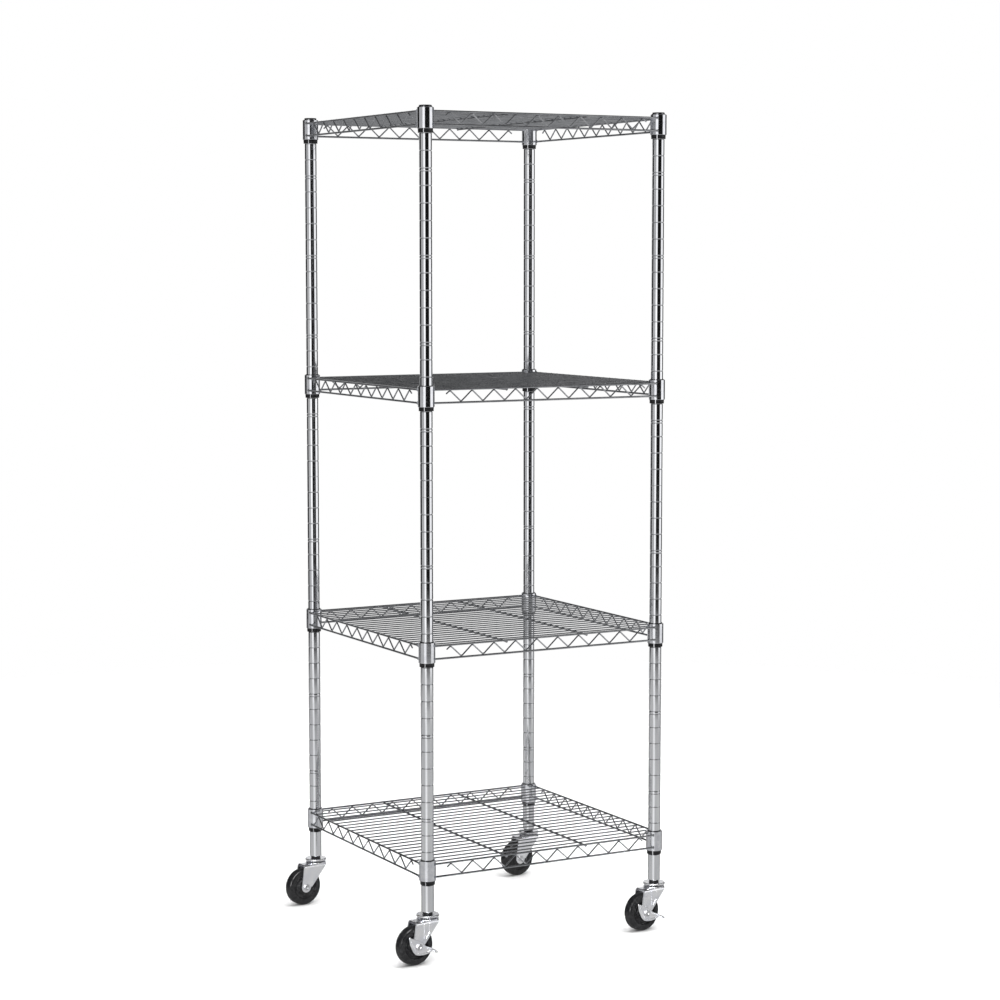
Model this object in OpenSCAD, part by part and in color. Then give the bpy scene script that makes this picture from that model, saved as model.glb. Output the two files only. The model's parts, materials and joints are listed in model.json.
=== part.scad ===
// Wire shelving rack: four welded wire shelves on four grooved posts, with four swivel casters.
// Millimetres, +Z up, front facing -Y. The origin is on the floor, midway between the four posts.

/* [Posts] */
// Distance between post centres, both ways
post_spacing = 402; // [380:2:440]
// Outside diameter of a post tube
post_d = 19; // [18.8:0.1:19.2]
// Wall thickness of a post tube
post_wall = 1.2; // [1:0.1:1.4]
// Height of a post's foot above the floor
post_foot_z = 78; // [78:1:82]
// Length of a post tube above its last groove
post_end = 13.4; // [13:0.1:20]
// Distance between neighbouring grooves
groove_pitch = 25.4; // [24:0.1:27]
// Height of the lowest groove above the post's foot
first_groove = 41.2; // [38:0.1:44]
// Width of a groove
groove_w = 1.8; // [1.4:0.1:2.2]
// Depth of a groove
groove_depth = 0.7; // [0.5:0.05:0.8]

/* [Shelves] */
// Height of a corner collar
collar_h = 31; // [29:0.5:33]
// Outside diameter of a corner collar
collar_d = 25.2; // [25:0.1:26]
// Distance of a side's rails outside the line of post centres
rail_offset = 9.8; // [9:0.1:10.5]
// Diameter of the rail wires
rail_d = 3; // [2.6:0.1:3.4]
// Height between the top and bottom rail of a side
rail_gap = 19.5; // [18:0.5:20]
// Diameter of the zigzag lacing wires
lacing_d = 2.2; // [1.8:0.1:2.4]
// Upper peaks of a lacing wire
lacing_peaks = 10; // [9:1:11]
// Diameter of the deck wires
deck_wire_d = 2.2; // [1.8:0.1:2.6]
// Number of deck wires on a shelf
deck_wires = 22; // [16:1:24]
// Diameter of the cross supports under the deck wires
support_d = 3; // [2.6:0.1:3.4]

/* [Casters] */
// Wheel diameter
wheel_d = 60; // [56:1:60]
// Wheel width
wheel_w = 16; // [14:0.5:16]
// Distance of the axle behind the swivel axis
caster_trail = 25; // [22:0.5:26]
// Angle of the casters away from straight left
caster_turn = 7; // [0:1:20]
// Diameter of the caster stems
stem_d = 8; // [7:0.5:8]
// Diameter of the axles
axle_d = 6; // [5:0.5:6]
// Thickness of the fork's sheet metal
fork_t = 2; // [1.5:0.1:2.2]

/* [Hidden] */
$fn = 64;

SHELVES = ["top", "upper", "lower", "bottom"];
CORNERS = ["front_left", "front_right", "back_left", "back_right"];
SHELF_PARTS = ["rails", "lacing", "deck_wires", "cross_supports", "collars", "sleeves"];

CHROME = [0.80, 0.81, 0.84];
ZINC = [0.74, 0.75, 0.77];
STEEL = [0.62, 0.63, 0.65];
BLACK = [0.10, 0.10, 0.11];

fit = 0.06; // running clearance between a shaft and its hole, measured on the radius

// Posts
post_r = post_d / 2;
bore_r = post_r - post_wall;
corner = post_spacing / 2;
joint_groove = 23;  // the groove where the two tubes of a post meet
last_groove = 45;
mark_every = 5;     // every fifth groove of a tube has a second one close under it
mark_first = 4;
mark_drop = 4.3;
joint_z = groove_z(joint_groove);
post_top_z = groove_z(last_groove) + post_end;
cap_h = 1.8;
insert_r = bore_r - 0.05; // plugs pressed into the tubes
coupling_l = 24;
stud_r = 5;
stud_l = 18;
socket_l = 30;
socket_flange_h = 3.5;

// Shelves
shelf_grooves = [45, 29, 14, 1]; // the groove that holds each shelf, from the top shelf down
collar_below_groove = 19;        // from a shelf's groove down to the foot of its collars
collar_r = collar_d / 2;
sleeve_below = 6;                // how far a sleeve shows under its collar
sleeve_above = 0.8;
sleeve_h = sleeve_below + collar_h + sleeve_above;
sleeve_foot_r = 11.2;
sleeve_head_r = 10.6;
sleeve_bore_r = post_r + 0.05;
sleeve_gap = 10;                 // degrees left open between the two halves of a sleeve
sleeve_rib = 0.5;                // rib that snaps into the post's groove
rail_r = rail_d / 2;
rail_line = corner + rail_offset;
rail_z = collar_h - 5.5;         // top rail above the foot of the collar
deck_z = rail_z + rail_r - deck_wire_d / 2; // the deck wires are level with the top of the rails
deck_margin = 15;                // from a front or back rail to the first deck wire, which ends at the collars
deck_first = deck_margin - rail_line;
deck_pitch = -2 * deck_first / (deck_wires - 1);
weld_bite = 0.05;                // how far crossing wires sink into each other at a weld
support_z = deck_z - deck_wire_d / 2 - support_d / 2 + weld_bite;
support_x = rail_line / 3;

// Lacing: straight runs from peak to peak, mitred there, which sink a little into the rails at the welds
lacing_r = lacing_d / 2;
lacing_margin = 34.5;            // from a post centre to the first peak
lacing_pitch = (post_spacing - 2 * lacing_margin) / (lacing_peaks - 1);
lacing_bite = 0.5;
lacing_reach = rail_gap / 2 - rail_r + lacing_bite; // from mid height to the tip of a peak
run_w = lacing_pitch / 2;
peak_h = lacing_peak_h(lacing_reach - lacing_r, 6); // from mid height to the wire's centre line at a peak
run_angle = atan(2 * peak_h / run_w);
tail_w = 7;                      // cut end of the wire beyond the first and last peak

// Casters, from the floor up
wheel_r = wheel_d / 2;
axle_r = axle_d / 2;
bush_r = 5;
bush_l = 18;
arm_gap = 19;                    // between the two arms of a fork
arm_end_r = 8.5;
arm_out = arm_gap / 2 + fork_t;  // from the wheel's middle plane to the outside of an arm
plate_top_z = 67;
crown_top_z = 69.6;
crown_r = 16.8;
cup_top_z = post_foot_z - socket_flange_h;
cup_rim_z = cup_top_z - 3.1;
cup_r = 17.3;
cup_t = 1.5;
ball_r = 1.5;
balls = 11;
race_r = 12;
stem_r = stem_d / 2;
stem_head_r = 6.5;
stem_head_h = 2.4;
stem_l = 27;                     // thread above the cup
rib_t = 0.9;
lever_t = 1.5;
lever_gap = 0.4;
lever_in = arm_out + rib_t + lever_gap;
lever_out = lever_in + lever_t;
lever_tab = 16;
lever_tab_w = 5;
spring_t = 0.8;
head_h = 2;
head_r = 5;

function groove_z(i) = post_foot_z + first_groove + i * groove_pitch;

// The mitre's tip stands lacing_r / cos(slope) over the centre line, so the height is found in a few steps
function lacing_peak_h(h, steps) =
    steps == 0 ? h : lacing_peak_h(lacing_reach - lacing_r / cos(atan(2 * h / run_w)), steps - 1);

function collar_z(s) = groove_z(shelf_grooves[s]) - collar_below_groove;
function corner_xy(c) = [(c % 2 == 0 ? -1 : 1) * corner, (c < 2 ? -1 : 1) * corner];
function has_brake(c) = c < 2;

// A copy of the children at each of the four posts
module at_posts() {
    for (c = [0:3]) translate(corner_xy(c)) children();
}

// A copy of the children on each of the four sides of a shelf
module on_sides() {
    for (a = [0:90:270]) rotate([0, 0, a]) children();
}

// A straight wire along X, centred
module wire_x(d, l) {
    rotate([0, 90, 0]) cylinder(h = l, d = d, center = true);
}

// ---- Posts ----

// Outline of a groove cut into a tube, from its lower to its upper edge
function groove_cut(z) = [
    [post_r, z - groove_w / 2],
    [post_r - groove_depth, z - groove_w / 5],
    [post_r - groove_depth, z + groove_w / 5],
    [post_r, z + groove_w / 2]
];

// A tube of a post, with grooves first to last counted from the groove nearest its foot
module post_tube(foot, head, first, last, base) {
    cuts = [
        for (i = [first:last])
            for (drop = (i - base) % mark_every == mark_first ? [mark_drop, 0] : [0])
                groove_z(i) - drop
    ];
    outside = concat(
        [[bore_r, foot], [post_r, foot]],
        [for (z = cuts) each groove_cut(z)],
        [[post_r, head], [bore_r, head]]
    );
    color(CHROME) rotate_extrude() polygon(outside);
}

module upper_post(c) {
    translate(corner_xy(c))
        post_tube(joint_z, post_top_z, joint_groove + 1, last_groove, joint_groove);
}

module lower_post(c) {
    translate(corner_xy(c)) post_tube(post_foot_z, joint_z, 0, joint_groove - 1, 0);
}

module post_caps() {
    plug_l = 14;
    plug_wall = 1.6;
    cap_edge = 0.8;
    color(BLACK) at_posts() translate([0, 0, post_top_z]) rotate_extrude() polygon([
        [0, 0], [insert_r - plug_wall, 0], [insert_r - plug_wall, -plug_l], [insert_r, -plug_l],
        [insert_r, 0], [post_r, 0], [post_r, cap_h - cap_edge], [post_r - cap_edge, cap_h], [0, cap_h]
    ]);
}

module post_coupling_studs() {
    color(STEEL) at_posts() translate([0, 0, joint_z]) {
        translate([0, 0, -coupling_l]) cylinder(h = coupling_l, r = insert_r);
        cylinder(h = stud_l, r = stud_r);
    }
}

module post_coupling_sockets() {
    color(STEEL) at_posts() translate([0, 0, joint_z]) difference() {
        cylinder(h = coupling_l, r = insert_r);
        translate([0, 0, -1]) cylinder(h = stud_l + 2, r = stud_r + fit);
    }
}

// ---- Shelves ----

module shelf_rails(s) {
    color(CHROME) translate([0, 0, collar_z(s)]) on_sides() difference() {
        for (z = [rail_z, rail_z - rail_gap])
            translate([0, -rail_line, z]) wire_x(rail_d, post_spacing - collar_r);
        for (x = [-corner, corner]) translate([x, -corner, -1]) cylinder(h = collar_h + 2, r = collar_r);
    }
}

// A straight run of a lacing wire, w wide, from x0 at height z0; slope is 1 for up and -1 for down
module lacing_run(x0, z0, w, slope) {
    over = 3;
    intersection() {
        translate([x0, 0, z0]) rotate([0, 90 - slope * run_angle, 0])
            translate([0, 0, -over]) cylinder(h = w / cos(run_angle) + 2 * over, r = lacing_r);
        translate([x0, -lacing_d, -rail_gap]) cube([w, 2 * lacing_d, 2 * rail_gap]);
    }
}

module lacing_wire() {
    end = (lacing_peaks - 1) * run_w;
    for (i = [0:lacing_peaks - 2]) {
        lacing_run(2 * i * run_w - end, peak_h, run_w, -1);
        lacing_run((2 * i + 1) * run_w - end, -peak_h, run_w, 1);
    }
    lacing_run(end, peak_h, tail_w, -1);
    lacing_run(-end - tail_w, peak_h - tail_w * tan(run_angle), tail_w, 1);
}

module shelf_lacing(s) {
    color(CHROME) translate([0, 0, collar_z(s) + rail_z - rail_gap / 2])
        on_sides() translate([0, -rail_line, 0]) lacing_wire();
}

module shelf_deck_wires(s) {
    color(CHROME) translate([0, 0, collar_z(s)]) difference() {
        for (i = [0:deck_wires - 1]) {
            between_collars = i == 0 || i == deck_wires - 1;
            translate([0, deck_first + i * deck_pitch, deck_z])
                wire_x(deck_wire_d, between_collars ? post_spacing : 2 * rail_line - rail_r);
        }
        for (x = [-rail_line, rail_line])
            translate([x, 0, rail_z]) rotate([0, 0, 90]) wire_x(rail_d, post_spacing);
        at_posts() cylinder(h = collar_h, r = collar_r);
    }
}

module shelf_cross_supports(s) {
    color(CHROME) translate([0, 0, collar_z(s)]) difference() {
        for (x = [-support_x, support_x])
            translate([x, 0, support_z]) rotate([0, 0, 90]) wire_x(support_d, 2 * rail_line);
        for (y = [-rail_line, rail_line]) translate([0, y, rail_z]) wire_x(rail_d, post_spacing);
    }
}

// Radius of a sleeve's outside at a height above its foot. It tapers from the foot of the collar up
function sleeve_r(h) =
    sleeve_foot_r + (sleeve_head_r - sleeve_foot_r) * (h - sleeve_below) / (sleeve_h - sleeve_below);

module shelf_collars(s) {
    wedge = 0.1; // gap between collar and sleeve, which closes under load
    edge = 0.6;
    color(CHROME) at_posts() translate([0, 0, collar_z(s)]) rotate_extrude() polygon([
        [sleeve_r(sleeve_below) + wedge, 0], [collar_r - edge, 0], [collar_r, edge],
        [collar_r, collar_h - edge], [collar_r - edge, collar_h],
        [sleeve_r(sleeve_below + collar_h) + wedge, collar_h]
    ]);
}

module sleeve_half() {
    rib_z = sleeve_below + collar_below_groove;
    rotate([0, 0, sleeve_gap / 2]) rotate_extrude(angle = 180 - sleeve_gap) polygon([
        [sleeve_bore_r, 0], [sleeve_foot_r, 0], [sleeve_foot_r, sleeve_below],
        [sleeve_head_r, sleeve_h], [sleeve_bore_r, sleeve_h],
        [sleeve_bore_r, rib_z + 0.5], [sleeve_bore_r - sleeve_rib, rib_z + 0.2],
        [sleeve_bore_r - sleeve_rib, rib_z - 0.2], [sleeve_bore_r, rib_z - 0.5]
    ]);
}

module shelf_sleeves(s) {
    color(BLACK) at_posts() translate([0, 0, collar_z(s) - sleeve_below])
        for (a = [45, 225]) rotate([0, 0, a]) sleeve_half();
}

// ---- Casters ----

// The children stand at a corner's swivel axis, with local +X pointing from the stem to the axle
module at_caster(c) {
    translate(corner_xy(c)) rotate([0, 0, 180 + caster_turn]) children();
}

// A disc or pin about the axle, from y0 to y1 across the wheel's middle plane
module across(r, y0, y1) {
    translate([caster_trail, y0, wheel_r]) rotate([-90, 0, 0]) cylinder(h = y1 - y0, r = r);
}

// A plate standing in a wheel's plane, from y0 to y1, with its outline as [x, z] points
module side_plate(outline, y0, y1) {
    translate([0, y1, 0]) rotate([90, 0, 0]) linear_extrude(y1 - y0) polygon(outline);
}

module caster_sockets() {
    color(BLACK) at_posts() translate([0, 0, post_foot_z]) difference() {
        union() {
            cylinder(h = socket_l, r = insert_r);
            translate([0, 0, -socket_flange_h]) cylinder(h = socket_flange_h, r = 7.6);
        }
        translate([0, 0, -socket_flange_h - 1]) cylinder(h = stem_l + 3, r = stem_r + 0.02);
    }
}

module caster_stems() {
    head_z = plate_top_z - fork_t - 0.4 - stem_head_h;
    color(STEEL) at_posts() translate([0, 0, head_z]) {
        cylinder(h = stem_head_h, r = stem_head_r);
        cylinder(h = cup_top_z + stem_l - head_z, r = stem_r);
    }
}

module caster_cups() {
    color(ZINC) at_posts() rotate_extrude() polygon([
        [stem_r + 0.02, cup_top_z - cup_t], [stem_r + 0.02, cup_top_z], [cup_r - 0.8, cup_top_z],
        [cup_r, cup_top_z - 0.8], [cup_r, cup_rim_z], [cup_r - cup_t, cup_rim_z],
        [cup_r - cup_t, cup_top_z - cup_t]
    ]);
}

module caster_balls() {
    color(STEEL) at_posts() for (i = [1:balls]) rotate([0, 0, i * 360 / balls])
        translate([race_r, 0, cup_top_z - cup_t - ball_r]) sphere(ball_r);
}

module fork(c) {
    head_x = 13;
    nose_x = 27.5;
    arm = [
        [-head_x, plate_top_z], [nose_x, plate_top_z], [caster_trail + 8.2, wheel_r + 1],
        [caster_trail - 6.8, wheel_r - 5], [3, wheel_r + 14.5], [1 - head_x, plate_top_z - 5]
    ];
    rib = [[3.5, 66], [14.5, 66], [14.5, 42], [9, 42], [3.5, 49]];
    color(ZINC) at_caster(c) difference() {
        union() {
            for (y = [-arm_out, arm_out - fork_t]) {
                side_plate(arm, y, y + fork_t);
                across(arm_end_r, y, y + fork_t);
            }
            translate([0, -arm_out, plate_top_z - fork_t]) cube([nose_x, 2 * arm_out, fork_t]);
            translate([0, 0, plate_top_z - fork_t]) cylinder(h = crown_top_z - plate_top_z + fork_t, r = crown_r);
            if (has_brake(c))
                for (y = [-arm_out - rib_t, arm_out - 0.1]) side_plate(rib, y, y + rib_t + 0.1);
        }
        cylinder(h = crown_top_z + 1, r = stem_r + fit);
        translate([0, 0, crown_top_z - 0.5]) rotate_extrude() translate([race_r - 2, 0]) square([4, 1]);
        across(axle_r, -arm_out - 1, arm_out + 1);
    }
}

// Half of the wheel's outline: the tread is crowned, and the web is thinner than the rim and the hub
function wheel_outline(side) = let (w = wheel_w / 2) [
    [bush_r, side * w], [12, side * w], [13.5, side * (w - 2)], [wheel_r - 9, side * (w - 2)],
    [wheel_r - 7.5, side * w], [wheel_r - 5, side * w], [wheel_r - 3.2, side * (w - 0.5)],
    [wheel_r - 1.8, side * (w - 1.5)], [wheel_r - 0.7, side * (w - 3.2)], [wheel_r, side * (w - 5.8)]
];

module wheel(c) {
    near = wheel_outline(1);
    far = wheel_outline(-1);
    color(BLACK) at_caster(c) translate([caster_trail, 0, wheel_r]) rotate([-90, 0, 0])
        rotate_extrude() polygon(concat(near, [for (i = [len(far) - 1:-1:0]) far[i]]));
}

module axle_bush(c) {
    color(STEEL) at_caster(c) difference() {
        across(bush_r, -bush_l / 2, bush_l / 2);
        across(axle_r + fit, -bush_l / 2 - 1, bush_l / 2 + 1);
    }
}

module axle(c) {
    reach = has_brake(c) ? lever_out + 0.3 : arm_out;
    color(STEEL) at_caster(c) {
        across(axle_r, -arm_out, reach);
        across(head_r, reach, reach + head_h);
        across(head_r, -arm_out - head_h, -arm_out);
    }
}

module brake_lever(c) {
    x = caster_trail;
    z = wheel_r;
    plate = [
        [x + 18, z + 17], [x + 8, z + 13], [x - 3, z + 8], [x - 12, z], [x - 17.5, z - 2.5],
        [x - 24, z - 5], [x - 25, z - 9], [x - 17.5, z - 12.5], [x - 8.5, z - 13.7],
        [x + 0.5, z - 13.1], [x + 6, z - 11.2], [x + 10.5, z - 6], [x + 16, z + 5.5]
    ];
    color(ZINC) at_caster(c) difference() {
        union() {
            side_plate(plate, lever_in, lever_out);
            translate([x - 24, lever_in, z - 7]) cube([lever_tab_w, lever_tab + lever_t, lever_t]);
        }
        across(axle_r + fit, lever_in - 1, lever_out + 1);
    }
}

module brake_spring(c) {
    color(STEEL) at_caster(c) difference() {
        across(11, arm_gap / 2 - spring_t, arm_gap / 2);
        across(bush_r + 1, arm_gap / 2 - spring_t - 1, arm_gap / 2 + 1);
    }
}

// ---- Nodes ----

for (s = [0:3]) {
    shelf = str(SHELVES[s], "_shelf_");
    shelf_rails(s);
    shelf_lacing(s);
    shelf_deck_wires(s);
    shelf_cross_supports(s);
    shelf_collars(s);
    shelf_sleeves(s);
}

for (c = [0:3]) {
    at = str(CORNERS[c], "_");
    upper_post(c);
    lower_post(c);
    fork(c);
    wheel(c);
    axle_bush(c);
    axle(c);
}

for (c = [0:1]) {
    at = str(CORNERS[c], "_");
    brake_lever(c);
    brake_spring(c);
}

post_caps();
post_coupling_studs();
post_coupling_sockets();
caster_sockets();
caster_stems();
caster_cups();
caster_balls();
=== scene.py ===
"""Looks of the wire shelving rack.

Pieces are worked out in millimetres and become metres in piece().
The studio and the camera are in metres.
"""

import json
import math

import bmesh
import bpy
from mathutils import Matrix, Vector

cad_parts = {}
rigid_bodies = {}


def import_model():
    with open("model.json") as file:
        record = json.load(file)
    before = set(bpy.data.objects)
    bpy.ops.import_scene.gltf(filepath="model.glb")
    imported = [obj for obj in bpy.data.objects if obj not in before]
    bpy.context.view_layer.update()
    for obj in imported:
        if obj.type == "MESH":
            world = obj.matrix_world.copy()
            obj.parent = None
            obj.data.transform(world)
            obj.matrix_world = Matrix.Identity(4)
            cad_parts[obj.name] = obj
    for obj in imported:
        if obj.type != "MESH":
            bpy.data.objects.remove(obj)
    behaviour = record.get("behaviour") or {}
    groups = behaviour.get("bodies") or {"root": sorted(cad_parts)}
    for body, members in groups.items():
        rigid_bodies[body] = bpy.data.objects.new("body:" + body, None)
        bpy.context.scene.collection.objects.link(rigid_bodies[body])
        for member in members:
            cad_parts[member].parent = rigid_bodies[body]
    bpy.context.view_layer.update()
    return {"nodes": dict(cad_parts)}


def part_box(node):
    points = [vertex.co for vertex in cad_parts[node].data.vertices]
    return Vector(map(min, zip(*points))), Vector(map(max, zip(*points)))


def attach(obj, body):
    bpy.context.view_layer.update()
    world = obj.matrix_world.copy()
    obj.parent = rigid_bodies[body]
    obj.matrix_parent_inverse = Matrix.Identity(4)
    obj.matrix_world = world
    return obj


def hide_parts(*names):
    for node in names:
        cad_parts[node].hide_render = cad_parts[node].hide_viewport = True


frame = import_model()

MM = 0.001
SHELVES = ["top", "upper", "lower", "bottom"]
CORNERS = ["front_left", "front_right", "back_left", "back_right"]
BRAKED = CORNERS[:2]


def box_mm(node):
    """Lowest and highest corner of a CAD node, in millimetres."""
    low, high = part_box(node)
    return low / MM, high / MM


def middle_of(node):
    low, high = box_mm(node)
    return (low + high) / 2


# ---- Sizes, from the frame where it holds them ----

POST_AT = {c: middle_of(c + "_lower_post").to_2d() for c in CORNERS}
HALF = POST_AT["front_right"].x              # from the rack's middle to a post's centre line
POST_FOOT = box_mm("front_left_lower_post")[0].z
POST_JOINT = box_mm("front_left_lower_post")[1].z
POST_TOP = box_mm("front_left_upper_post")[1].z
POST_R = (box_mm("front_left_lower_post")[1].x - box_mm("front_left_lower_post")[0].x) / 2
POST_WALL = 1.2
GROOVE_PITCH = 25.4
FIRST_GROOVE = POST_FOOT + 41.2
GROOVE_W = 1.9
GROOVE_DEPTH = 0.68
MARK_EVERY = 5                               # every fifth groove is a double one
MARK_FIRST = 4
MARK_DROP = 4.3

COLLAR_H = box_mm("top_shelf_collars")[1].z - box_mm("top_shelf_collars")[0].z
COLLAR_R = box_mm("top_shelf_collars")[1].x - HALF
RAIL_R = 1.5
RAIL_LINE = HALF + 9.8                       # a side's rails, measured from the rack's middle
RAIL_Z = COLLAR_H - 5.5                      # top rail above the foot of the collar
RAIL_GAP = 19.5
LACING_R = 1.1
LACING_PEAKS = 10
LACING_MARGIN = 34.5
LACING_BEND = 3.2
LACING_TAIL = 6.5
DECK_R = 1.1
DECK_WIRES = 22
DECK_MARGIN = 15
DECK_Z = RAIL_Z + RAIL_R - DECK_R
SUPPORT_R = 1.5
SUPPORT_X = RAIL_LINE / 3
SUPPORT_Z = DECK_Z - DECK_R - SUPPORT_R + 0.05
SLEEVE_BELOW = 6
SLEEVE_FOOT_R = 11.2
SLEEVE_HEAD_R = 10.6
SLEEVE_H = box_mm("top_shelf_sleeves")[1].z - box_mm("top_shelf_sleeves")[0].z

CASTER_TURN = 187                            # direction of a caster's trail, in degrees from +X
TRAIL = 25
WHEEL_R = 30
WHEEL_W = 16
ARM_OUT = 11.5                               # from the wheel's middle plane to the outside of an arm
SHEET = 2                                    # thickness of the fork's sheet metal
ARM_END_R = 8.5                              # round foot of an arm, about the axle
CROWN_Z = 67
CROWN_TOP = 69.6
CROWN_R = 16.8
LEVER_IN = 12.8
LEVER_OUT = 14.3

SHARP_ANGLE = 40                             # edges that turn by more than this many degrees stay sharp
WELD_SINK = 0.3                              # how far a welded wire sinks into what it meets


# ---- Solids: each one is (points, faces) ----

def rounded(points, radius, steps=5, closed=True):
    """The outline or path with every corner turned into an arc; radius is one number or one a corner."""
    points = [Vector(p) for p in points]
    radii = radius if isinstance(radius, list) else [radius] * len(points)
    made = []
    for i, corner in enumerate(points):
        is_end = not closed and i in (0, len(points) - 1)
        if is_end or radii[i] <= 0:
            made.append(corner)
            continue
        before = points[i - 1] - corner
        after = points[(i + 1) % len(points)] - corner
        half_angle = before.angle(after) / 2
        if half_angle > math.radians(89.5):
            made.append(corner)
            continue
        cut = min(radii[i] / math.tan(half_angle), 0.49 * before.length, 0.49 * after.length)
        bend = cut * math.tan(half_angle)
        towards = (before.normalized() + after.normalized()).normalized()
        centre = corner + towards * (bend / math.sin(half_angle))
        start = corner + before.normalized() * cut - centre
        end = corner + after.normalized() * cut - centre
        turn = start.angle(end)
        for k in range(steps + 1):
            share = k / steps
            swing = start * math.sin((1 - share) * turn) + end * math.sin(share * turn)
            made.append(centre + swing / math.sin(turn))
    return made


def lathe(outline, segments=72, start=0, sweep=360):
    """A closed outline of (radius, height) points turned about Z."""
    full = sweep == 360
    columns = segments if full else segments + 1
    points, rings = [], []
    for r, z in outline:
        if abs(r) < 1e-6:
            rings.append([len(points)] * columns)
            points.append(Vector((0, 0, z)))
            continue
        rings.append(list(range(len(points), len(points) + columns)))
        for k in range(columns):
            a = math.radians(start + sweep * k / segments)
            points.append(Vector((r * math.cos(a), r * math.sin(a), z)))
    faces = []
    for i, ring in enumerate(rings):
        above = rings[(i + 1) % len(rings)]
        for k in range(segments):
            n = (k + 1) % columns
            face = [ring[k], ring[n], above[n], above[k]]
            face = [v for j, v in enumerate(face) if v != face[j - 1]]
            if len(face) > 2:
                faces.append(face)
    if not full:
        faces += [[ring[0] for ring in rings], [ring[-1] for ring in rings]]
    return points, faces


def swept(path, radii, sides):
    """A round bar along a path, with a radius at each of its points and flat ends."""
    path = [Vector(p) for p in path]
    tangents = []
    for i in range(len(path)):
        ahead = path[min(i + 1, len(path) - 1)] - path[max(i - 1, 0)]
        tangents.append(ahead.normalized())
    across = tangents[0].orthogonal().normalized()
    points, faces = [], []
    for i, at in enumerate(path):
        across = (across - tangents[i] * across.dot(tangents[i])).normalized()
        other = tangents[i].cross(across)
        for k in range(sides):
            a = 2 * math.pi * k / sides
            points.append(at + (across * math.cos(a) + other * math.sin(a)) * radii[i])
    for i in range(len(path) - 1):
        for k in range(sides):
            n = (k + 1) % sides
            faces.append([i * sides + k, i * sides + n, (i + 1) * sides + n, (i + 1) * sides + k])
    faces.append(list(range(sides)))
    faces.append([(len(path) - 1) * sides + k for k in range(sides)])
    return points, faces


def wire(path, r, weld, sides):
    """A wire with slightly rounded ends. Where weld isn't 0, they spread in a fillet of that size instead."""
    path = [Vector(p) for p in path]
    steps = 5
    reach = weld if weld else 0.35 * r
    ends = []
    for tip, inner in ((path[0], path[1]), (path[-1], path[-2])):
        along = (inner - tip).normalized()
        rows = []
        for k in range(steps + 1):
            d = k / steps
            arc = 1 - math.sqrt(1 - (1 - d) ** 2)
            rows.append((tip + along * reach * d, r + (arc * reach if weld else -arc * reach)))
        ends.append(rows)
    rows = ends[0] + [(p, r) for p in path[1:-1]] + ends[1][::-1]
    return swept([p for p, _ in rows], [radius for _, radius in rows], sides)


def nugget(centre, size):
    """A small ellipsoid of weld metal."""
    rings, sides = 6, 12
    outline = [(math.sin(math.pi * k / rings), -math.cos(math.pi * k / rings)) for k in range(rings + 1)]
    points, faces = lathe(outline, sides)
    return [Vector(centre) + Vector(a * b for a, b in zip(p, size)) for p in points], faces


def slab(outline, y0, y1, edge):
    """A plate from y0 to y1 with an outline of (x, z) points, whose edges have a chamfer of size edge."""
    n = len(outline)
    area = sum(outline[i - 1][0] * outline[i][1] - outline[i][0] * outline[i - 1][1] for i in range(n))
    side = 1 if area > 0 else -1
    inset = []
    for i in range(n):
        before = (Vector(outline[i]) - Vector(outline[i - 1])).normalized()
        after = (Vector(outline[(i + 1) % n]) - Vector(outline[i])).normalized()
        along = (before + after).normalized()
        inset.append(Vector(outline[i]) + Vector((-along.y, along.x)) * side * edge)
    loops = [(inset, y0), (outline, y0 + edge), (outline, y1 - edge), (inset, y1)]
    points = [Vector((p[0], y, p[1])) for loop, y in loops for p in loop]
    faces = [list(range(n)), list(range(3 * n, 4 * n))]
    for row in range(3):
        for i in range(n):
            j = (i + 1) % n
            faces.append([row * n + i, row * n + j, (row + 1) * n + j, (row + 1) * n + i])
    return points, faces


def sheet(grid, thickness):
    """A closed sheet of metal about a grid of middle points, with a blunt edge that stands out a little."""
    edge_out = 0.22 * thickness
    rows, columns = len(grid), len(grid[0])

    def normal(i, j):
        down = grid[min(i + 1, rows - 1)][j] - grid[max(i - 1, 0)][j]
        across = grid[i][min(j + 1, columns - 1)] - grid[i][max(j - 1, 0)]
        return down.cross(across).normalized()

    normals = [[normal(i, j) for j in range(columns)] for i in range(rows)]
    points = [grid[i][j] + normals[i][j] * thickness / 2 for i in range(rows) for j in range(columns)]
    points += [grid[i][j] - normals[i][j] * thickness / 2 for i in range(rows) for j in range(columns)]
    under = rows * columns
    faces = []
    for i in range(rows - 1):
        for j in range(columns - 1):
            a = i * columns + j
            faces.append([a, a + 1, a + columns + 1, a + columns])
            faces.append([under + a, under + a + columns, under + a + columns + 1, under + a + 1])
    rim = [(0, j) for j in range(columns)] + [(i, columns - 1) for i in range(1, rows)]
    rim += [(rows - 1, j) for j in range(columns - 2, -1, -1)] + [(i, 0) for i in range(rows - 2, 0, -1)]
    base = len(points)
    for k, (i, j) in enumerate(rim):
        before = grid[rim[k - 1][0]][rim[k - 1][1]]
        after = grid[rim[(k + 1) % len(rim)][0]][rim[(k + 1) % len(rim)][1]]
        outward = (after - before).cross(normals[i][j]).normalized()
        points.append(grid[i][j] + outward * edge_out)
    for k, (i, j) in enumerate(rim):
        n = (k + 1) % len(rim)
        a, b = i * columns + j, rim[n][0] * columns + rim[n][1]
        faces.append([a, b, base + n, base + k])
        faces.append([under + b, under + a, base + k, base + n])
    return points, faces


def placed(solid, matrix):
    return [matrix @ p for p in solid[0]], solid[1]


def turned(solid, degrees):
    return placed(solid, Matrix.Rotation(math.radians(degrees), 4, "Z"))


def lifted(solid, x, y, z):
    return placed(solid, Matrix.Translation((x, y, z)))


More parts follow.
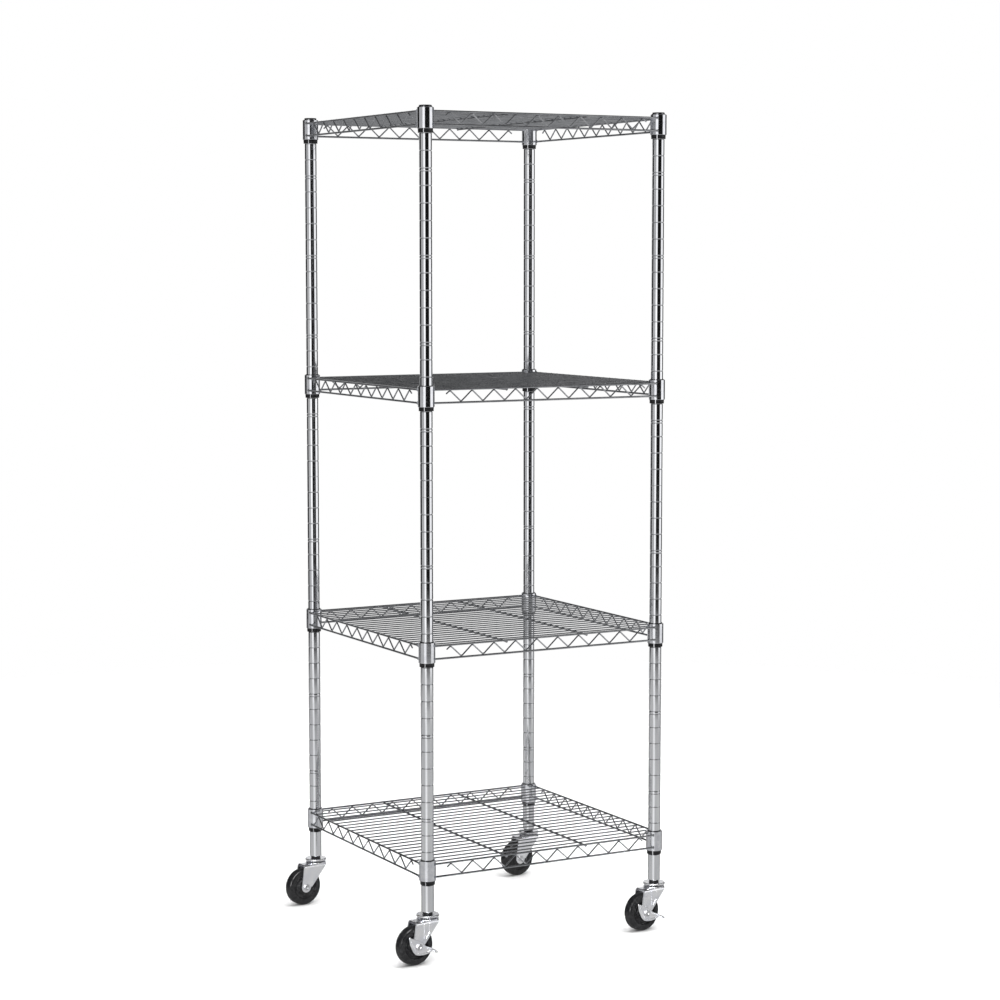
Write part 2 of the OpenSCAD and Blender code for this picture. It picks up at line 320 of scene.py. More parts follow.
def piece(name, solids, material, body, replaces):
    """A Blender object made of solids in millimetres, which rides on a CAD body."""
    points, faces = [], []
    for solid_points, solid_faces in solids:
        base = len(points)
        points += [p * MM for p in solid_points]
        faces += [[base + i for i in face] for face in solid_faces]
    mesh = bpy.data.meshes.new(name)
    mesh.from_pydata(points, [], faces)
    shape = bmesh.new()
    shape.from_mesh(mesh)
    bmesh.ops.recalc_face_normals(shape, faces=shape.faces)
    shape.to_mesh(mesh)
    shape.free()
    mesh.shade_smooth()
    mesh.set_sharp_from_angle(angle=math.radians(SHARP_ANGLE))
    mesh.materials.append(material)
    made = bpy.data.objects.new(name, mesh)
    bpy.context.scene.collection.objects.link(made)
    flats = made.modifiers.new("flat faces stay flat", "WEIGHTED_NORMAL")
    flats.keep_sharp = True
    flats.weight = 100
    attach(made, body)
    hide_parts(*replaces)
    return made


# ---- Materials ----

def add_node(tree, kind, feeds, **settings):
    """A shader node with its settings. Each input is fed by another node's output or set to a value."""
    made = tree.nodes.new(kind)
    for key, value in settings.items():
        setattr(made, key, value)
    for key, value in feeds.items():
        if isinstance(value, bpy.types.NodeSocket):
            tree.links.new(value, made.inputs[key])
        else:
            made.inputs[key].default_value = value
    return made


class Graph:
    """A material's node tree, with short calls for noise, tint, roughness and relief."""

    def __init__(self, name, colour, metallic, roughness):
        self.material = bpy.data.materials.new(name)
        self.material.use_nodes = True
        self.tree = self.material.node_tree
        self.shader = self.tree.nodes["Principled BSDF"]
        self.shader.inputs["Base Color"].default_value = (*colour, 1)
        self.shader.inputs["Metallic"].default_value = metallic
        self.shader.inputs["Roughness"].default_value = roughness
        self.place = self.tree.nodes.new("ShaderNodeTexCoord").outputs["Object"]
        self.height = None

    def node(self, kind, feeds, **settings):
        return add_node(self.tree, kind, feeds, **settings)

    def noise(self, scale, detail, stretch=(1, 1, 1)):
        """Noise in the piece's own space, with scale in features a metre."""
        spread = self.node("ShaderNodeMapping", {"Vector": self.place, "Scale": stretch})
        feeds = {"Vector": spread.outputs["Vector"], "Scale": scale, "Detail": detail}
        return self.node("ShaderNodeTexNoise", feeds).outputs["Fac"]

    def spots(self, scale):
        """Small scattered specks: high near the points of a cell pattern."""
        cells = self.node("ShaderNodeTexVoronoi", {"Vector": self.place, "Scale": scale})
        return self.spread(cells.outputs["Distance"], 1, 0, 0.02, 0.16)

    def spread(self, fac, low, high, start=0.3, end=0.7):
        """A value that runs from low to high as fac runs from start to end."""
        feeds = {"Value": fac, "From Min": start, "From Max": end, "To Min": low, "To Max": high}
        return self.node("ShaderNodeMapRange", feeds).outputs["Result"]

    def tint(self, fac, dark, light, start=0.3, end=0.7):
        """Base colour that runs from dark to light with fac."""
        ramp = self.node("ShaderNodeValToRGB", {"Fac": fac})
        ramp.color_ramp.elements[0].position = start
        ramp.color_ramp.elements[0].color = (*dark, 1)
        ramp.color_ramp.elements[1].position = end
        ramp.color_ramp.elements[1].color = (*light, 1)
        self.tree.links.new(ramp.outputs["Color"], self.shader.inputs["Base Color"])

    def rough(self, fac, low, high):
        """Roughness that runs from low to high with fac."""
        self.tree.links.new(self.spread(fac, low, high), self.shader.inputs["Roughness"])

    def bump(self, fac, depth):
        """Adds relief of a given depth in millimetres on top of the relief so far."""
        feeds = {"Height": fac, "Distance": depth * MM, "Strength": 1}
        if self.height:
            feeds["Normal"] = self.height
        self.height = self.node("ShaderNodeBump", feeds).outputs["Normal"]
        self.tree.links.new(self.height, self.shader.inputs["Normal"])


def chrome_wire():
    """Bright chrome plate over drawn wire: faint waviness, fine haze and a few pits."""
    g = Graph("chrome_wire", (0.48, 0.49, 0.51), 1, 0.1)
    g.tint(g.noise(45, 3), (0.38, 0.39, 0.41), (0.58, 0.59, 0.61))
    g.rough(g.noise(220, 5), 0.07, 0.2)
    g.bump(g.noise(130, 3), 0.05)
    g.bump(g.spots(420), 0.02)
    return g.material


def chrome_tube():
    """Bright chrome plate over welded tube: long faint draw lines and soft haze."""
    g = Graph("chrome_tube", (0.82, 0.83, 0.85), 1, 0.06)
    g.tint(g.noise(60, 4, (1, 1, 0.12)), (0.74, 0.75, 0.78), (0.88, 0.89, 0.91))
    g.rough(g.noise(150, 6, (1, 1, 0.15)), 0.04, 0.13)
    g.bump(g.noise(500, 3, (1, 1, 0.02)), 0.008)
    g.bump(g.noise(35, 2, (1, 1, 0.3)), 0.03)
    return g.material


def chrome_collar():
    """Chrome plate over a pressed collar: a little softer than the tubes, with press marks round it."""
    g = Graph("chrome_collar", (0.80, 0.81, 0.84), 1, 0.09)
    g.tint(g.noise(90, 4), (0.71, 0.72, 0.76), (0.86, 0.87, 0.90))
    g.rough(g.noise(260, 5), 0.06, 0.18)
    g.bump(g.noise(420, 3, (0.05, 0.05, 1)), 0.012)
    g.bump(g.noise(60, 3), 0.05)
    return g.material


def bright_zinc():
    """Bright zinc plate on pressed sheet: faintly mottled, slightly cool, with a soft tumbled texture."""
    g = Graph("bright_zinc", (0.91, 0.92, 0.95), 1, 0.22)
    g.tint(g.noise(90, 4), (0.86, 0.87, 0.92), (0.97, 0.97, 0.98))
    g.rough(g.noise(260, 5), 0.15, 0.27)
    g.bump(g.noise(700, 4), 0.006)
    g.bump(g.noise(110, 2), 0.03)
    g.bump(g.spots(650), 0.008)
    return g.material


def plain_steel():
    """Turned steel with a thin film of oil."""
    g = Graph("plain_steel", (0.56, 0.57, 0.58), 1, 0.3)
    g.tint(g.noise(180, 4), (0.42, 0.43, 0.44), (0.66, 0.66, 0.67))
    g.rough(g.noise(400, 4), 0.2, 0.45)
    g.bump(g.noise(1500, 2, (0.15, 0.15, 1)), 0.015)
    return g.material


def black_plastic():
    """Moulded black plastic with a fine spark-eroded grain."""
    g = Graph("black_plastic", (0.009, 0.009, 0.010), 0, 0.42)
    g.tint(g.noise(160, 5), (0.005, 0.005, 0.006), (0.014, 0.014, 0.016))
    g.rough(g.noise(500, 4), 0.34, 0.55)
    g.bump(g.noise(1800, 3), 0.03)
    g.shader.inputs["Specular IOR Level"].default_value = 0.35
    return g.material


def wheel_plastic():
    """Hard black wheel: satin, with faint scuffs round the tread and a trace of dust."""
    g = Graph("wheel_plastic", (0.009, 0.009, 0.010), 0, 0.2)
    g.tint(g.noise(240, 7), (0.005, 0.005, 0.0055), (0.018, 0.018, 0.019), 0.42, 0.78)
    g.rough(g.noise(300, 6), 0.10, 0.2)
    g.bump(g.noise(900, 4), 0.008)
    g.bump(g.noise(160, 3), 0.02)
    g.shader.inputs["Specular IOR Level"].default_value = 0.4
    return g.material


WIRE = chrome_wire()
TUBE = chrome_tube()
COLLAR = chrome_collar()
ZINC = bright_zinc()
STEEL = plain_steel()
PLASTIC = black_plastic()
WHEEL = wheel_plastic()


# ---- Posts ----

def groove_heights(first, last, base):
    """Heights of a tube's grooves from first to last, with the second line of each double one."""
    heights = []
    for i in range(first, last + 1):
        z = FIRST_GROOVE + i * GROOVE_PITCH
        if (i - base) % MARK_EVERY == MARK_FIRST:
            heights.append(z - MARK_DROP)
        heights.append(z)
    return heights


def grooved_tube(foot, head, heights):
    """A tube of a post, with rolled grooves that have soft shoulders, and eased ends."""
    ease = 0.45
    outline = [(POST_R - POST_WALL, foot), (POST_R - ease, foot), (POST_R - ease / 4, foot + ease / 3)]
    outline.append((POST_R, foot + ease))
    steps = 8
    for z in heights:
        for k in range(steps + 1):
            t = 2 * k / steps - 1
            depth = GROOVE_DEPTH * (0.5 + 0.5 * math.cos(math.pi * t)) ** 0.8
            outline.append((POST_R - depth, z + t * GROOVE_W / 2))
    outline += [(POST_R, head - ease), (POST_R - ease / 4, head - ease / 3), (POST_R - ease, head)]
    outline.append((POST_R - POST_WALL, head))
    return lathe(outline, 80)


def posts():
    joint = round((POST_JOINT - FIRST_GROOVE) / GROOVE_PITCH)
    last = int((POST_TOP - FIRST_GROOVE) / GROOVE_PITCH)
    lower = grooved_tube(POST_FOOT, POST_JOINT, groove_heights(0, joint - 1, 0))
    upper = grooved_tube(POST_JOINT, POST_TOP, groove_heights(joint + 1, last, joint))
    for corner, at in POST_AT.items():
        for half, tube in (("lower", lower), ("upper", upper)):
            node = f"{corner}_{half}_post"
            piece(f"{corner}_{half}_tube", [lifted(tube, *at, 0)], TUBE, "root", [node])


def post_caps():
    low, high = box_mm("post_caps")
    lip = 0.5
    outline = rounded(
        [(0, POST_TOP), (5.4, POST_TOP), (5.4, low.z), (8.2, low.z), (8.2, POST_TOP), (POST_R, POST_TOP),
         (POST_R, high.z), (0, high.z)],
        [0, 0, 0, 0, 0, 0.2, 1.1, 0],
    )
    ring = rounded([(6.6, high.z - lip), (7.2, high.z - lip), (7.2, high.z), (6.6, high.z)], 0.1, 2)
    caps = [lifted(lathe(part, 64), *at, 0) for at in POST_AT.values() for part in (outline, ring)]
    piece("end_caps", caps, PLASTIC, "root", ["post_caps"])


# ---- Shelves ----

def on_sides(solids):
    return [turned(solid, a) for a in (0, 90, 180, 270) for solid in solids]


def rail_solids():
    """The two rails of the front side, from collar to collar, with a weld fillet at each end."""
    reach = HALF - math.sqrt(COLLAR_R**2 - (RAIL_LINE - HALF) ** 2) + 0.4
    return [
        wire([(-reach, -RAIL_LINE, z), (0, -RAIL_LINE, z), (reach, -RAIL_LINE, z)], RAIL_R, 1.1, 20)
        for z in (RAIL_Z, RAIL_Z - RAIL_GAP)
    ]


def lacing_solids():
    """The zigzag wire of the front side, with round bends and a weld nugget where each touches a rail."""
    half_pitch = (HALF - LACING_MARGIN) / (LACING_PEAKS - 1)
    middle = RAIL_Z - RAIL_GAP / 2
    touch = RAIL_GAP / 2 - RAIL_R - LACING_R + WELD_SINK
    run = math.atan2(2 * touch, half_pitch)
    corner_h = touch + LACING_BEND * (1 / math.cos(run) - 1)
    corners = []
    for i in range(2 * LACING_PEAKS - 1):
        side = 1 if i % 2 == 0 else -1
        corners.append(Vector(((i - LACING_PEAKS + 1) * half_pitch, -RAIL_LINE, middle + side * corner_h)))
    fall = LACING_TAIL * math.tan(run)
    first = corners[0] + Vector((-LACING_TAIL, 0, -fall))
    last = corners[-1] + Vector((LACING_TAIL, 0, -fall))
    path = rounded([first, *corners, last], LACING_BEND, 6, closed=False)
    solids = [wire(path, LACING_R, 0, 14)]
    for i, corner in enumerate(corners):
        side = 1 if i % 2 == 0 else -1
        spot = Vector((corner.x, -RAIL_LINE, middle + side * (RAIL_GAP / 2 - RAIL_R)))
        solids.append(nugget(spot, (2.3, 1.0, 0.6)))
    return solids


def deck_lines():
    """Where the deck wires lie, from front to back."""
    first = DECK_MARGIN - RAIL_LINE
    pitch = -2 * first / (DECK_WIRES - 1)
    return [first + i * pitch for i in range(DECK_WIRES)]


def deck_solids():
    """The wires that carry the load. The outer two end on the collars, the others on the side rails."""
    lines = deck_lines()
    on_collar = HALF - math.sqrt(COLLAR_R**2 - (HALF + lines[0]) ** 2) + WELD_SINK
    on_rail = RAIL_LINE - RAIL_R + WELD_SINK
    solids = []
    for i, y in enumerate(lines):
        reach = on_collar if i in (0, DECK_WIRES - 1) else on_rail
        solids.append(wire([(x, y, DECK_Z) for x in (-reach, 0, reach)], DECK_R, 0.5, 16))
    return solids


def support_solids():
    """The two wires under the deck wires, with a weld nugget at each crossing."""
    reach = RAIL_LINE - RAIL_R * 0.6
    solids = []
    for x in (-SUPPORT_X, SUPPORT_X):
        solids.append(wire([(x, y, SUPPORT_Z) for y in (-reach, 0, reach)], SUPPORT_R, 0.6, 20))
        for y in deck_lines():
            solids.append(nugget((x, y, DECK_Z - DECK_R), (1.25, 1.25, 0.5)))
    return solids


def collar_solid():
    """A collar whose bore tapers with the sleeve inside it, a little clear of it."""
    foot, head = SLEEVE_FOOT_R + 0.1, SLEEVE_HEAD_R + 0.1
    corners = [(foot, 0), (COLLAR_R, 0), (COLLAR_R, COLLAR_H), (head, COLLAR_H)]
    return lathe(rounded(corners, [0.3, 0.6, 0.7, 0.4]), 96)


def sleeve_solids():
    """The two halves of a tapered sleeve, with a scored line a little above the foot."""
    gap = 10                                 # degrees between the halves
    bore_r = POST_R + 0.05
    outline = rounded(
        [(bore_r, 0), (SLEEVE_FOOT_R, 0), (SLEEVE_FOOT_R, 1.5), (SLEEVE_FOOT_R - 0.3, 1.7),
         (SLEEVE_FOOT_R - 0.3, 2.1), (SLEEVE_FOOT_R, 2.3), (SLEEVE_FOOT_R, SLEEVE_BELOW),
         (SLEEVE_HEAD_R, SLEEVE_H), (bore_r, SLEEVE_H)],
        [0.1, 0.6, 0.1, 0.1, 0.1, 0.1, 0, 0.2, 0.1], 3,
    )
    return [lathe(outline, 40, turn + gap / 2, 180 - gap) for turn in (45, 225)]


def shelf(name):
    foot = box_mm(name + "_shelf_collars")[0].z
    body = name + "_shelf"
    parts = {
        "rails": ("rail_wires", on_sides(rail_solids())),
        "lacing": ("zigzag_wires", on_sides(lacing_solids())),
        "deck_wires": ("deck", deck_solids()),
        "cross_supports": ("support_wires", support_solids()),
    }
    for node, (label, solids) in parts.items():
        solids = [lifted(solid, 0, 0, foot) for solid in solids]
        piece(f"{name}_{label}", solids, WIRE, body, [f"{body}_{node}"])
    collars = [lifted(collar_solid(), *at, foot) for at in POST_AT.values()]
    piece(f"{name}_collar_rings", collars, COLLAR, body, [f"{body}_collars"])
    halves = [lifted(half, *at, foot - SLEEVE_BELOW) for at in POST_AT.values() for half in sleeve_solids()]
    piece(f"{name}_split_sleeves", halves, PLASTIC, "root", [f"{body}_sleeves"])


# ---- Casters, in a frame whose +X points from the stem to the axle ----

def at_caster(corner):
    return Matrix.Translation((*POST_AT[corner], 0)) @ Matrix.Rotation(math.radians(CASTER_TURN), 4, "Z")


def across(outline, segments):
    """An outline of (radius, height across the wheel) points turned about the axle."""
    to_axle = Matrix.Translation((TRAIL, 0, WHEEL_R)) @ Matrix.Rotation(math.radians(-90), 4, "X")
    return placed(lathe(outline, segments), to_axle)


def stem_inserts():
    low, high = box_mm("caster_sockets")
    flange = POST_FOOT - low.z
    outline = rounded(
        [(4.05, low.z), (7.6, low.z), (7.6, low.z + flange), (8.2, POST_FOOT), (8.2, high.z), (4.05, high.z)],
        [0.2, 0.6, 0.1, 0, 0.3, 0.3], 4,
    )
    solids = [lifted(lathe(outline, 64), *at, 0) for at in POST_AT.values()]
    piece("stem_inserts", solids, PLASTIC, "root", ["caster_sockets"])


def bearing_cups():
    low, high = box_mm("caster_cups")
    cup_r = high.x - HALF
    wall = 1.4
    outline = rounded(
        [(4.05, high.z - wall), (4.05, high.z), (9.2, high.z), (10, high.z - 0.25),
         (cup_r - 0.9, high.z - 0.25), (cup_r, high.z - 0.9), (cup_r, low.z), (cup_r - wall, low.z),
         (cup_r - wall, high.z - wall - 0.4)],
        [0, 0.3, 0.3, 0.3, 0.4, 0.5, 0.3, 0.3, 0.6],
    )
    solids = [lifted(lathe(outline, 80), *at, 0) for at in POST_AT.values()]
    piece("bearing_cups", solids, ZINC, "root", ["caster_cups"])


def arm_edges(z):
    """Where a fork arm's leading and trailing edges are at a height."""
    lead_top, lead_z, lead_lean = -12.0, 62.0, 0.2
    trail_top, trail_lean = 27.5, 0.158
    least_width = 0.4
    away = Vector((TRAIL - lead_top, WHEEL_R - lead_z))
    tangent = math.atan2(away.y, away.x) - math.asin(ARM_END_R / away.length)
    if z < lead_z:
        lead = lead_top + (z - lead_z) / math.tan(tangent)
    else:
        lead = lead_top - (z - lead_z) * lead_lean
    trail = trail_top + (CROWN_Z - z) * trail_lean
    if z < WHEEL_R:
        round_half = math.sqrt(max(ARM_END_R**2 - (WHEEL_R - z) ** 2, 0))
        trail = min(trail, TRAIL + round_half)
        lead = max(lead, TRAIL - round_half)
    return lead, max(trail, lead + least_width)


def fork_grid():
    """Middle surface of the fork: up one arm, over the crown and down the other arm."""
    columns = 64
    bend_steps = 6
    row_step = 1.3
    mid = ARM_OUT - SHEET / 2
    bend = 3.2
    top = CROWN_Z - SHEET / 2
    heights = [WHEEL_R - ARM_END_R * math.cos(math.radians(a)) for a in range(3, 90, 7)]
    heights += [WHEEL_R + row_step * k for k in range(25)]
    heights = [z for z in heights if z < top - bend] + [top - bend]
    profile = [(mid, z, z) for z in heights]
    for k in range(1, bend_steps + 1):
        a = math.radians(90 * k / bend_steps)
        profile.append((mid - bend + bend * math.cos(a), top - bend + bend * math.sin(a), CROWN_Z))
    profile += [(mid - bend - step, top, CROWN_Z) for step in (2.4, 4.8)]
    profile += [(0, top, CROWN_Z)]
    profile += [(-y, z, edge_z) for y, z, edge_z in profile[-2::-1]]
    grid = []
    for y, z, edge_z in profile:
        lead, trail = arm_edges(edge_z)
        grid.append([Vector((lead + (trail - lead) * j / columns, y, z)) for j in range(columns + 1)])
    return grid


def pressed_panel(side):
    """The braked fork's raised panel on one arm, with a bead down each of its long edges."""
    sunk, rise, chamfer = 0.3, 0.4, 0.3
    bead_r, bead_bend, bead_rise = 0.95, 2.5, 0.2
    low, high = sorted([side * (ARM_OUT - sunk), side * (ARM_OUT + rise)])
    outline = rounded([(3.5, 62.4), (14.5, 62.4), (14.5, 39.5), (10.6, 39.5), (3.5, 49)], 1, 4)
    solids = [slab([tuple(p) for p in outline], low, high, chamfer)]
    crest = side * (ARM_OUT + bead_rise)
    for line in ([(4.4, 62.6), (4.4, 48.7), (10.9, 40)], [(13.6, 62.6), (13.6, 39.6)]):
        path = rounded([(x, crest, z) for x, z in line], bead_bend, 5, closed=False)
        head = [path[0].lerp(path[1], share) for share in (0, 0.1, 0.9)]
        solids.append(wire(head + path[1:], bead_r, 0, 14))
    return solids


def fork_solids(braked):
    """The bent sheet, the round crown with a shallow ring groove on top, and the raised panels."""
    stem_hole_r = 4.06
    groove_z = CROWN_TOP - 0.5
    crown = rounded(
        [(stem_hole_r, CROWN_Z - SHEET), (12.2, CROWN_Z - SHEET), (CROWN_R, CROWN_Z + 0.4),
         (CROWN_R, CROWN_TOP - 1.2), (14.6, CROWN_TOP), (14.2, CROWN_TOP), (13.4, groove_z),
         (10.6, groove_z), (9.8, CROWN_TOP), (stem_hole_r, CROWN_TOP)],
        [0.2, 1.5, 0.6, 0.4, 0.3, 0.2, 0.4, 0.4, 0.2, 0.2],
    )
    panels = pressed_panel(1) + pressed_panel(-1) if braked else []
    return [sheet(fork_grid(), SHEET), lathe(crown, 80), *panels]


def wheel_solids():
    """A wheel with a hub, a thinner web with a moulded ring on it, a rim and a crowned tread."""
    w = WHEEL_W / 2
    web = w - 2
    hub = [(5, w), (11.6, w), (12.4, w - 0.5), (13.2, web)]
    ring = [(16, web), (16.7, w - 1.2), (17.6, w - 0.8), (18.5, w - 1.2), (19.2, web)]
    rim = [(WHEEL_R - 10.4, web), (WHEEL_R - 9.8, w - 0.3), (WHEEL_R - 9.2, w), (WHEEL_R - 4.2, w)]
    tread = [
        (WHEEL_R - 3.2, w - 0.15), (WHEEL_R - 2.2, w - 0.5), (WHEEL_R - 1.3, w - 1.15),
        (WHEEL_R - 0.65, w - 2.1), (WHEEL_R - 0.25, w - 3.4), (WHEEL_R - 0.05, w - 5), (WHEEL_R, w - 6.5),
    ]
    side = hub + ring + rim + tread
    outline = side + [(r, -z) for r, z in side[::-1]]
    return [across(rounded(outline, 0.5, 3), 128)]


def rivet_head(y, out):
    """A rolled rivet head: a ring with a dimple, from y outwards (out is 1 or -1)."""
    outline = rounded(
        [(0, 0), (5, 0), (5, 1.4), (4.3, 2), (2.4, 2), (1.7, 1.2), (0, 1.1)],
        [0, 0.2, 0.4, 0.4, 0.3, 0.4, 0], 4,
    )
    return across([(r, y + out * h) for r, h in outline], 48)


def axle_solids(reach):
    """The axle, from the far arm's outside to reach, with a rolled head on each end."""
    axle_r = 3
    shaft = [(0, -ARM_OUT), (axle_r, -ARM_OUT), (axle_r, reach), (0, reach)]
    return [across(shaft, 48), rivet_head(reach, 1), rivet_head(-ARM_OUT, -1)]


def tab_solid():
    """The tab to step on, which tapers and droops as it stands out from the lever."""
    thick = 1.5
    tab_x, tab_z = TRAIL - 21.5, WHEEL_R - 6.25
    points, faces = [], []
    sections = [(0, 5, 0), (5, 5, 0), (10, 4.6, -0.3), (15, 3.6, -0.9), (17.3, 2.2, -1.2)]
    for out, width, drop in sections:
        edge = rounded([(-1, -1), (1, -1), (1, 1), (-1, 1)], 0.35, 3)
        for p in edge:
            x, z = tab_x + p.x * width / 2, tab_z + drop + p.y * thick / 2
            points.append(Vector((x, LEVER_IN + out, z)))
    n = len(edge)
    for k in range(len(sections) - 1):
        for i in range(n):
            j = (i + 1) % n
            faces.append([k * n + i, k * n + j, (k + 1) * n + j, (k + 1) * n + i])
    faces += [list(range(n)), list(range((len(sections) - 1) * n, len(sections) * n))]
    return points, faces


def lever_solids():
    """The stamped brake lever: a boat-shaped plate, a raised bead along its keel, and a tab to step on."""
    corners = [
        (18, 17), (8, 13), (-3, 8), (-12, 0), (-17.5, -2.5), (-24, -5), (-25, -9), (-17.5, -12.5),
        (-8.5, -13.7), (0.5, -13.1), (6, -11.2), (10.5, -6), (16, 5.5),
    ]
    radii = [0.8, 4, 6, 6, 6, 1.5, 2.5, 8, 14, 14, 7, 14, 10]
    outline = rounded([(TRAIL + x, WHEEL_R + z) for x, z in corners], radii, 4)
    plate = slab([tuple(p) for p in outline], LEVER_IN, LEVER_OUT, 0.35)
    keel = [(-20, -8.2), (-14, -10.4), (-7, -11.2), (0, -10.6), (5, -8), (10, 1), (13.5, 10.5)]
    path = rounded([(TRAIL + x, LEVER_OUT, WHEEL_R + z) for x, z in keel], 6, 5, closed=False)
    bead = wire(path, 0.75, 0, 12)
    return [plate, bead, tab_solid()]


def caster(corner):
    """One caster's fork, axle and wheel, and its lever where it has a brake."""
    braked = corner in BRAKED
    at = at_caster(corner)
    body, wheel_body = corner + "_caster", corner + "_wheel"
    lever_play = 0.3
    reach = LEVER_OUT + lever_play if braked else ARM_OUT

    def made(label, solids, material, rides_on, slot, node):
        placed_solids = [placed(solid, at) for solid in solids]
        piece(f"{corner}_{label}", placed_solids, material, rides_on, [f"{corner}_{node}"])

    made("pressed_fork", fork_solids(braked), ZINC, body, "bright_zinc", "fork")
    made("rivet_axle", axle_solids(reach), STEEL, body, "plain_steel", "axle")
    made("moulded_wheel", wheel_solids(), WHEEL, wheel_body, "wheel_plastic", "wheel")
    if braked:
        made("stamped_lever", lever_solids(), ZINC, corner + "_brake", "bright_zinc", "brake_lever")


# ---- CAD nodes that stay as they are, with a finished material ----

def dress_cad_nodes():
    kept = ["post_coupling_studs", "post_coupling_sockets", "caster_stems", "caster_balls"]
    kept += [f"{c}_axle_bush" for c in CORNERS] + [f"{c}_brake_spring" for c in BRAKED]
    for name in kept:
        node = frame["nodes"][name]
        node.data.materials.clear()
        node.data.materials.append(STEEL)


# ---- Studio ----

def floor():
    """A pale round floor that fades out at its edge. Chrome mirrors the world's wider floor instead of it."""
    radius, fade = 2.6, 1.7
    bpy.ops.mesh.primitive_circle_add(vertices=128, radius=radius, fill_type="NGON")
    disc = bpy.context.object
    disc.name = "studio_floor"
    g = Graph("pale_floor", (0.9, 0.9, 0.9), 0, 0.6)
    g.tint(g.noise(9, 3), (0.9, 0.9, 0.9), (0.93, 0.93, 0.93))
    from_middle = g.node("ShaderNodeVectorMath", {0: g.place}, operation="LENGTH").outputs["Value"]
    solid = g.spread(from_middle, 1, 0, radius - fade, radius)
    mirrored = g.node("ShaderNodeLightPath", {}).outputs["Is Glossy Ray"]
    alpha = g.node("ShaderNodeMath", {0: solid, 1: mirrored}, operation="SUBTRACT", use_clamp=True)
    g.tree.links.new(alpha.outputs["Value"], g.shader.inputs["Alpha"])
    disc.data.materials.append(g.material)


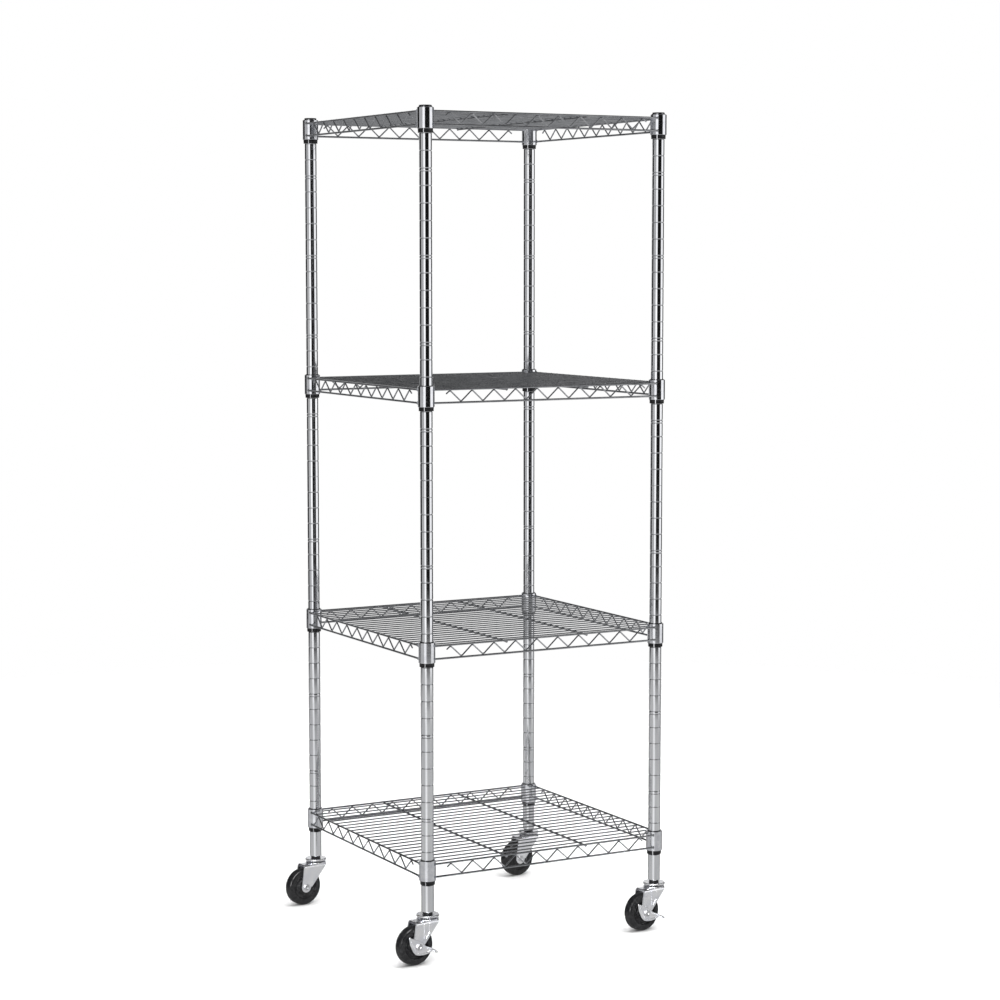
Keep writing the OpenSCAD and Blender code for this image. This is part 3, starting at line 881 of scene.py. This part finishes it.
def studio_world():
    """White to the eye. In reflections: a dark room with tall soft boxes round it and a wide white floor."""
    # Each box: azimuth of its middle and half its width, in degrees, and its strength.
    boxes = [(-141, 16, 1.5), (-34, 24, 1.4), (177, 24, 0.6), (70, 36, 0.95)]
    # Heights are the Z of a direction: -1 straight down, 1 straight up.
    box_top, box_fade = 0.32, 0.2
    strip_from, strip_full = 0.78, 0.86
    floor_edge, floor_fade = -0.162, 0.025
    dark, strip = 0.01, 0.36
    floor_light, floor_glare, floor_shade = 0.64, 0.5, 0.34
    world = bpy.data.worlds.new("studio")
    bpy.context.scene.world = world
    world.use_nodes = True
    tree = world.node_tree
    tree.nodes.clear()

    def node(kind, feeds, **settings):
        return add_node(tree, kind, feeds, **settings)

    def maths(operation, a, b=0.0, c=0.0):
        return node("ShaderNodeMath", {0: a, 1: b, 2: c}, operation=operation).outputs["Value"]

    def ease(value, start, end, low, high):
        feeds = {"Value": value, "From Min": start, "From Max": end, "To Min": low, "To Max": high}
        return node("ShaderNodeMapRange", feeds, interpolation_type="SMOOTHSTEP").outputs["Result"]

    direction = node("ShaderNodeTexCoord", {}).outputs["Generated"]
    split = node("ShaderNodeSeparateXYZ", {"Vector": direction})
    x, y, z = split.outputs["X"], split.outputs["Y"], split.outputs["Z"]
    azimuth = maths("ARCTAN2", y, x)

    def sector(middle, half, strength, soft=0.15):
        """Strength within half degrees of an azimuth, and nothing beyond."""
        away = maths("SUBTRACT", azimuth, math.radians(middle))
        off = maths("ABSOLUTE", maths("WRAP", away, math.pi, -math.pi))
        edge = math.radians(half)
        return ease(off, edge * (1 - soft), edge * (1 + soft), strength, 0)

    walls = 0
    for box in boxes:
        walls = maths("ADD", sector(*box), walls)
    room = maths("ADD", maths("MULTIPLY", walls, ease(z, box_top, box_top + box_fade, 1, 0)), dark)
    room = maths("ADD", room, ease(z, strip_from, strip_full, 0, strip))
    lit_floor = maths("ADD", sector(-134, 18, floor_glare, 0.6), floor_light)
    lit_floor = maths("SUBTRACT", lit_floor, sector(61, 55, floor_shade, 0.6))
    ground = ease(z, floor_edge - floor_fade, floor_edge + floor_fade, 1, 0)
    seen_light = node("ShaderNodeMix", {0: ground, 2: room, 3: lit_floor}, data_type="FLOAT").outputs[0]
    seen = node("ShaderNodeLightPath", {}).outputs["Is Camera Ray"]
    studio_light = node("ShaderNodeBackground", {"Strength": seen_light})
    white = node("ShaderNodeBackground", {"Color": (1, 1, 1, 1), "Strength": 1.0})
    mixed = node("ShaderNodeMixShader", {0: seen, 1: studio_light.outputs[0], 2: white.outputs[0]})
    node("ShaderNodeOutputWorld", {"Surface": mixed.outputs[0]})


def soft_box(name, place, size, watts, only=None):
    """A large soft light that looks at the middle of the rack.

    Without only, it lights everything and nothing mirrors it. With only, it lights just the pieces in
    that list, and they mirror it.
    """
    data = bpy.data.lights.new(name, "AREA")
    data.shape = "DISK"
    data.size = size
    data.energy = watts
    light = bpy.data.objects.new(name, data)
    light.location = place
    light.rotation_euler = (Vector((0, 0, 0.6)) - Vector(place)).to_track_quat("-Z", "Y").to_euler()
    light.visible_camera = False
    light.visible_glossy = only is not None
    if only:
        light.light_linking.receiver_collection = bpy.data.collections.new(name)
        for lit in only:
            light.light_linking.receiver_collection.objects.link(lit)
    bpy.context.scene.collection.objects.link(light)


def studio():
    floor()
    studio_world()
    soft_box("overhead", (0.2, -0.3, 3.6), 3.0, 170)
    soft_box("key", (-2.2, -2.6, 2.6), 1.8, 60)
    soft_box("fill", (2.6, -1.2, 1.8), 1.8, 40)
    soft_box("back", (0.8, 3.0, 2.2), 2.0, 50)
    endings = ("fork", "wheel", "lever", "cups", "rivet_axle")
    casters = [o for o in bpy.data.objects if o.name.endswith(endings) and not o.hide_render]
    glints = {"glint_low": (-2.3, -2.3, 0.6), "glint": (-1.45, -2.1, 2), "glint_high": (-0.2, -1.9, 2.5)}
    for name, place in glints.items():
        soft_box(name, place, 1.6, 62, casters)


def camera():
    """Stands front left of the rack, a little under its top, and looks slightly down."""
    data = bpy.data.cameras.new("camera")
    data.lens = 89.5
    data.sensor_width = 36
    view = bpy.data.objects.new("camera", data)
    view.location = (-1.874, -3.458, 1.057)
    view.rotation_euler = (math.radians(90 - 5.585), 0, math.radians(-28.89))
    bpy.context.scene.collection.objects.link(view)
    bpy.context.scene.camera = view


posts()
post_caps()
for shelf_name in SHELVES:
    shelf(shelf_name)
stem_inserts()
bearing_cups()
for corner_name in CORNERS:
    caster(corner_name)
dress_cad_nodes()
studio()
camera()
bpy.context.scene.view_settings.view_transform = "Standard"
